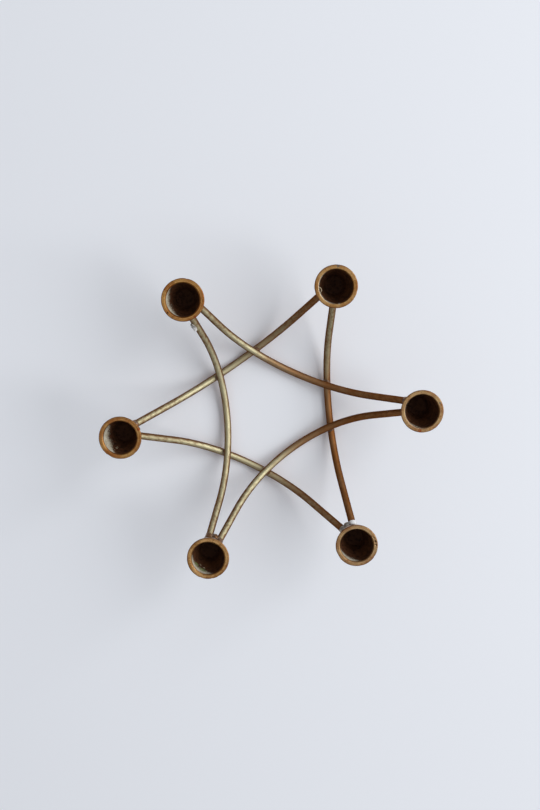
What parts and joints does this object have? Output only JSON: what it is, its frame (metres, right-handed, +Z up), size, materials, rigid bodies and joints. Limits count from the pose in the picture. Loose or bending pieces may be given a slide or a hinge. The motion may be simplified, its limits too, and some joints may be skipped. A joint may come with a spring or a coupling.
{
  "type": "candelabra",
  "caption": "Low star-shaped table candelabra: tapered brass candle cups on nested triangles of bent rod, silver-soldered where the rods cross.",
  "frame": {"origin": "on the table under the centre of the star", "axes": "+Z up out of the candle cups; +X from the centre towards cup 1; the cups are numbered anticlockwise seen from above"},
  "size_m": [0.2284, 0.2016, 0.074],
  "materials": {
    "cup_brass": "turned brass with an aged, warm brown patina",
    "rod_brass": "drawn brass rod, dull olive-brown patina, brighter where it is handled",
    "silver_solder": "silver solder, dull grey with bright patches"
  },
  "bodies": {
    "root": {"candle_cup_1": "cup_brass", "candle_cup_2": "cup_brass", "candle_cup_3": "cup_brass", "candle_cup_4": "cup_brass", "candle_cup_5": "cup_brass", "candle_cup_6": "cup_brass", "upper_rod_1_3": "rod_brass", "upper_rod_3_5": "rod_brass", "upper_rod_5_1": "rod_brass", "lower_rod_2_4": "rod_brass", "lower_rod_4_6": "rod_brass", "lower_rod_6_2": "rod_brass", "cup_solder_1": "silver_solder", "cup_solder_2": "silver_solder", "cup_solder_3": "silver_solder", "cup_solder_4": "silver_solder", "cup_solder_5": "silver_solder", "cup_solder_6": "silver_solder", "crossing_solder_1": "silver_solder", "crossing_solder_2": "silver_solder", "crossing_solder_3": "silver_solder", "crossing_solder_4": "silver_solder", "crossing_solder_5": "silver_solder", "crossing_solder_6": "silver_solder"}
  },
  "joints": []
}
